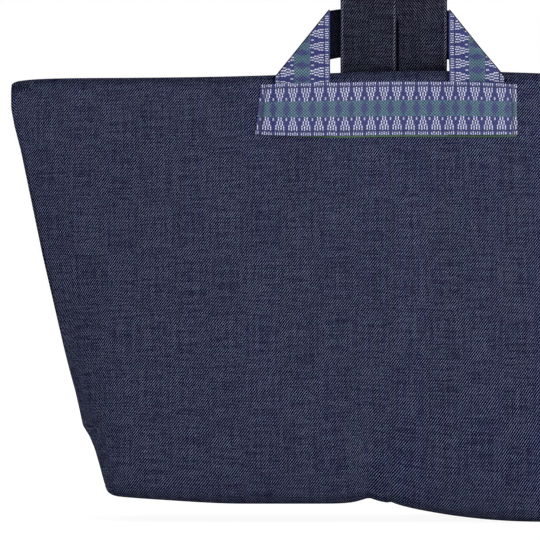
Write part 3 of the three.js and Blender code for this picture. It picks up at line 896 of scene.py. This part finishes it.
x, drop, flat = patch_rows(*patch_grid, stitch_inset, end_inset)
seat = front_rows(x, drop, thread_proud + over_loop_ends(x))
normal = outward(seat)
ring = [(seat[0], normal[0]), (seat[:, -1], normal[:, -1]),
        (seat[-1][::-1], normal[-1][::-1]), (seat[::-1, 0], normal[::-1, 0])]
patch_stitches = stitch_piece("patch_stitches", ring, 0.55, navy_thread)
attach(patch_stitches, "bag")
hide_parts("patch_stitching")

# %% [markdown]
# The short loop is one strip of denim faced with ribbon. Each riser comes out from under the patch, leans
# over the mouth's edge and is folded over along a slanting line, so that the strip goes on sideways
# behind the strap with its ribbon turned to the rear. The strip is drawn thread by thread: each thread
# goes up, round the fold, and along the upper run to the middle; the other half is its mirror image.

# %% Short loop
bend_y, bend_z = -2.0, 329.885
mouth_top = 321.9
fold_low, fold_high = (-83.0, 315.5), (-43.0, 365.3)
riser_y, run_y = -1.2, 2.4
fold_radius = 1.2
denim_proud = 1.1
sewn_low, sewn_high = 43, 9
sewn_rows, riser_rows, fold_rows, run_rows = 12, 26, 7, 30


def run_height(share, x):
    low = 334.5 - 0.00225 * x ** 2
    high = 367.8 - 0.0007 * x ** 2
    return low + (high - low) * share


def riser_face(x, z):
    """How far back the riser's outer face is: over the mouth's edge at first, then beside the strap."""
    face = wall_row(fine_across, 1.0, -1)
    edge = mouth_edge(x) + 1
    bulge = 2.4 * smooth_step(z, edge - 10, edge - 3)
    forward = np.interp(x, face[:, 0], face[:, 1]) - denim_proud - bulge
    return forward + (riser_y - forward) * smooth_step(z, edge, edge + 18)


def half_loop(shares):
    """Threads of the left half, from under the patch to the middle: points, flat places, and folds."""
    low, high = np.array(fold_low), np.array(fold_high)
    aside = np.array([low[1] - high[1], high[0] - low[0]]) / np.linalg.norm(high - low)
    x = low[0] + (high[0] - low[0]) * shares
    top = low[1] + (high[1] - low[1]) * shares
    drops = np.linspace(sewn_low, sewn_high, sewn_rows)[:, None] + 0 * shares
    under = front_rows(x + 0 * drops, drops, denim_proud)
    middle_reach = np.mean(top + loop_centre - x)
    threads, flats = [], []
    for k, share in enumerate(shares):
        sewn = under[:, k]
        rise = sewn[-1, 2] + (top[k] - sewn[-1, 2]) * np.linspace(0, 1, riser_rows + 1)[1:]
        leave = smooth_step(rise, sewn[-1, 2], sewn[-1, 2] + 4)
        riser_back = sewn[-1, 1] + (riser_face(x[k], rise) - sewn[-1, 1]) * leave
        riser = np.stack([np.full(riser_rows, x[k]), riser_back, rise], axis=1)
        turn = np.linspace(0, math.pi, fold_rows + 1)[1:]
        arc = np.stack([x[k] + aside[0] * fold_radius * np.sin(turn),
                        riser[-1, 1] + fold_radius * (1 - np.cos(turn)),
                        top[k] + aside[1] * fold_radius * np.sin(turn)], axis=1)
        run_x = x[k] + (loop_centre - x[k]) * np.linspace(0, 1, run_rows + 1)[1:]
        start_off = top[k] - run_height(share, x[k])
        run_z = run_height(share, run_x) + start_off * np.exp(-(run_x - x[k]) / 12)
        inward = smooth_step(run_x, x[k] + 6 * (1 - share), -40)
        run_back = arc[-1, 1] + (run_y - arc[-1, 1]) * inward
        behind = riser_face(run_x, run_z) + 2 * fold_radius
        run_back = np.where(run_x < fold_high[0] + 1, np.maximum(run_back, behind), run_back)
        thread = np.concatenate([sewn, riser, arc, np.stack([run_x, run_back, run_z], axis=1)])
        run_reach = top[k] + (middle_reach - top[k]) * (run_x - x[k]) / (loop_centre - x[k])
        reach = np.concatenate([sewn[:, 2], rise, np.full(fold_rows, top[k]), run_reach])
        threads.append(thread)
        flats.append(np.stack([np.full(len(thread), (share - 0.5) * loop_width), reach], axis=1))
    return np.array(threads), np.array(flats)


def whole_loop(shares):
    """The half loop and its mirror image, as rows along the strip and columns across it."""
    points, flat = half_loop(shares)
    mirror, flat_mirror = points[:, -2::-1].copy(), flat[:, -2::-1].copy()
    mirror[..., 0] = 2 * loop_centre - mirror[..., 0]
    flat_mirror[..., 1] = 2 * flat[:, -1:, 1] - flat_mirror[..., 1]
    points = np.concatenate([points, mirror], axis=1)
    flat = np.concatenate([flat, flat_mirror], axis=1)
    return points.transpose(1, 0, 2), flat.transpose(1, 0, 2)


def bend_with(piece):
    """Bakes the piece's place into its mesh, so that it stays where it is."""
    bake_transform(piece)


points, flat = whole_loop(np.linspace(0, 1, 21))
print("the loop's strip is", round(np.ptp(flat[:, 10, 1]) + 2 * math.pi * fold_radius), "mm long")
loop_cloth = sheet("loop_denim_strip", points, flat, denim_dark, denim_thickness)
bend_with(loop_cloth)
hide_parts("loop_strap", "loop_end_left", "loop_end_right")
points, flat = whole_loop(np.linspace(0.015, 0.997, 27))
at_fold = np.zeros(len(points))
fold_start = sewn_rows + riser_rows
at_fold[fold_start:fold_start + fold_rows] = 1
at_fold = np.maximum(at_fold, at_fold[::-1])
# At the fold the ribbon sinks into the denim, so that a line of dark denim shows there and stands in for the
# shade where the ribbon turns away.
points = sunk(points, (0.75 * at_fold - 0.6)[:, None] + 0 * points[..., 0])
loop_ribbon = sheet("loop_ribbon_strip", points, flat, woven_ribbon, ribbon_thickness)
bend_with(loop_ribbon)
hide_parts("loop_ribbon")

# %% [markdown]
# The long strap is one strip of folded denim with a stitched line near each edge. Its ends are sewn inside
# the rear of the mouth, its two legs stand side by side with the left one in front, and its upper part is
# the loop that a hand goes through.

# %% Long strap
strap_width, strap_thickness = 40.0, 2.4
strap_centre = 2.65
leg_offset = 18.25
leg_apart = 1.4
split_z, hand_z = 358.0, 385.885
hand_top = 530.7
strap_end_depth = 34.0
rear_cloths = 2.8
leg_rows, hand_rows = 60, 220
groove_angle = math.radians(50)


def strap_section():
    """Half the thickness at places across the strap: round edges, and a groove for each stitched line."""
    edge = np.array([0, 0.08, 0.3, 0.7, 1.2, 1.8, 2.2, 2.6, 3.4, 4.0, 4.6, 5.2, 6.0, 10, 15])
    place = np.concatenate([edge, strap_width - edge[::-1]])
    from_edge = np.minimum(place, strap_width - place)
    full = strap_thickness / 2
    rounded = full * np.sqrt(1 - np.clip(1 - from_edge / full, 0, 1) ** 2)
    groove = 0.28 * np.exp(-((from_edge - 2.2) / 0.5) ** 2)
    return place - strap_width / 2, rounded - groove


def strip(name, centres, across, finish, painted_shadow_place=None):
    """Sweeps the strap's section along a line of centres; across points over its width at each one.

    A shadow is painted along a line, if one is given, which is a distance from the strap's middle."""
    normal = unit(np.cross(unit(np.gradient(centres, axis=0)), across))
    place, half = strap_section()
    around = np.concatenate([place, place[::-1][1:]])
    height = np.concatenate([-half, half[::-1][1:]])
    girth = np.insert(np.cumsum(np.hypot(np.diff(around), np.diff(height))), 0, 0)
    behind = np.arange(len(around)) >= len(place)
    girth = np.where(behind, girth[-1] * 0.75 - girth, girth - girth[-1] * 0.25)
    reach = reaches(centres)
    order = np.array([0, *range(len(centres)), len(centres) - 1])
    thick = np.ones((len(order), 1))
    thick[[0, -1]] = 0
    points = centres[order, None] + around[:, None] * across[order, None]
    points = points + (thick * height)[..., None] * normal[order, None]
    flat = np.stack(np.broadcast_arrays(girth, reach[order, None]), axis=2)
    painted_shade = None
    if painted_shadow_place is not None:
        painted_shade = np.tile(np.exp(-((around - painted_shadow_place) / 1.2) ** 4), (len(order), 1))
    print(name, "is", round(reach[-1]), "mm long")
    return closed_up(sheet(name, points, flat, finish, painted_shade=painted_shade), groove_angle)


def catmull(points, steps):
    """A smooth line through the points, with even steps."""
    points = np.array(points, dtype=float)
    points = np.concatenate([[2 * points[0] - points[1]], points, [2 * points[-1] - points[-2]]])
    t = np.linspace(0, 1, 40)[:-1, None]
    line = []
    for a, b, c, d in zip(points, points[1:], points[2:], points[3:]):
        line.append(0.5 * (2 * b + (c - a) * t + (2 * a - 5 * b + 4 * c - d) * t ** 2
                           + (3 * b - a - 3 * c + d) * t ** 3))
    line = np.concatenate(line + [points[-2:-1]])
    reach = reaches(line)
    return at_reach(np.linspace(0, reach[-1], steps), reach, line)


def rear_inside(x, drop):
    """How far back the inner face of the rear facing is, where the strap's end lies on it."""
    face = wall_row(fine_across, 1 - drop / mouth_height, 1)
    near = np.interp(np.linspace(x - 20, x + 20, 9), face[:, 0], -face[:, 1])
    return near.min() - rear_cloths


for place, end in (("left", -1), ("right", 1)):
    apart = leg_apart * end
    x = strap_centre + end * leg_offset
    low_x = strap_centre + end * 20.4
    line = [(low_x, rear_inside(low_x, drop) - strap_thickness / 2 - 0.2, mouth_top - drop)
            for drop in (strap_end_depth, 24)]
    line += [(x + 0.6 * end, rear_inside(x, 12) - 2.4 + apart, mouth_top - 11),
             (x, bend_y + 4.6 + apart, 319), (x, bend_y + 1.2 + apart, bend_z - 3),
             (x, bend_y + apart, bend_z + 6), (x, bend_y + apart, 347), (x, bend_y + apart, split_z)]
    centres = catmull(line, leg_rows)
    # The right leg gets a painted shadow beside the edge of the left leg, which lies over it.
    leg_shadow_place = strap_width / 2 - 2 * leg_offset + 0.9 if end > 0 else None
    level = np.tile([1.0, 0, 0], (leg_rows, 1))
    leg = strip(f"strap_leg_{place}_cloth", centres, level, denim_strap, leg_shadow_place)
    bend_with(leg)
    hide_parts(f"strap_end_{place}", f"strap_leg_{place}")

# %% [markdown]
# The hand loop goes on from the two legs. Its line is given by how far it bulges beside the leg, at
# shares of its height, and it turns a quarter about itself on each side, so that it lies across the hand.

# %% Hand loop
part_spread = 45.0
half_outline = [(0, 0), (0, 0.09), (0.5, 0.19), (4.4, 0.4), (14.5, 0.6), (18.5, 0.8), (6.9, 0.95)]
side = [(leg_offset + out, split_z + (hand_top - split_z) * share) for out, share in half_outline]


def parted(z):
    """How far a side is from the strap's middle plane, which it reaches well above the split."""
    return leg_apart * np.clip(2 - (z - split_z) / part_spread, 0, 1)


hand_line = [(strap_centre - out, bend_y - parted(z), z) for out, z in side]
hand_line += [(strap_centre, bend_y, hand_top)]
hand_line += [(strap_centre + out, bend_y + parted(z), z) for out, z in reversed(side)]
centres = catmull(hand_line, hand_rows)
share = np.linspace(0, 1, hand_rows)
quarter = math.pi / 2 * (smooth_step(share, 0.09, 0.34) - smooth_step(share, 0.66, 0.91))
tangent = unit(np.gradient(centres, axis=0))
wide = np.stack([np.cos(quarter), -np.sin(quarter), 0 * quarter], axis=1)
wide -= tangent * np.sum(wide * tangent, axis=1, keepdims=True)
hand = strip("hand_loop_cloth", centres, unit(wide), denim_strap)
bend_with(hand)
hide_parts("hand_loop")

# %% [markdown]
# The stage is a pale floor under a white sky. The sky lights the bag evenly, a large soft lamp above the
# right of the camera gives the front its shape, and another one does so behind. To the camera, the floor
# is partly a white glow, so that it blends with the sky and still holds the bag's shadow. The stage is
# given in metres.

# %% Stage and light
glow_share, glow_strength = 0.86, 1.09
sky_light, sky_seen = 0.62, 1.0
floor_size, floor_height = 40, 0.0012


def floor_finish():
    finish = Finish("floor", roughness=1.0, specular=0.0)
    finish.colour((0.86, 0.86, 0.87, 1.0))
    ray = finish.node("ShaderNodeLightPath")
    glow = finish.node("ShaderNodeEmission", {}, {"Color": (1.0, 1.0, 1.0, 1.0), "Strength": glow_strength})
    lit = Value(finish, finish.shader.outputs[0])
    mixed = finish.node("ShaderNodeMixShader", {}, {0: ray * glow_share, 1: lit, 2: glow})
    finish.tree.links.new(mixed.socket, finish.tree.nodes["Material Output"].inputs["Surface"])
    return finish.material


bpy.ops.mesh.primitive_plane_add(size=floor_size, location=(0, 0, floor_height))
floor = bpy.context.object
floor.name = "floor"
floor.data.materials.append(floor_finish())

sky = bpy.data.worlds.new("sky")
sky.use_nodes = True
bpy.context.scene.world = sky
background = sky.node_tree.nodes["Background"]
path = sky.node_tree.nodes.new("ShaderNodeLightPath")
strength = sky.node_tree.nodes.new("ShaderNodeMapRange")
sky.node_tree.links.new(path.outputs["Is Camera Ray"], strength.inputs[0])
strength.inputs[3].default_value = sky_light
strength.inputs[4].default_value = sky_seen
sky.node_tree.links.new(strength.outputs[0], background.inputs["Strength"])
background.inputs["Color"].default_value = (1, 1, 1, 1)


def soft_lamp(name, place, tilt, turn, energy):
    """A round area lamp, tilted up from straight down and turned about the vertical, in degrees."""
    aim = (math.radians(tilt), 0, math.radians(turn))
    bpy.ops.object.light_add(type="AREA", location=place, rotation=aim)
    lamp = bpy.context.object
    lamp.name = name
    lamp.data.shape = "DISK"
    lamp.data.size = 1.6
    lamp.data.energy = energy


soft_lamp("front_lamp", (0.9, -1.7, 1.7), 48, 28, 34)
soft_lamp("rear_lamp", (1.5, 1.5, 1.2), 60, 135, 26)
print("the floor is", floor_height / mm, "mm above the frame's")
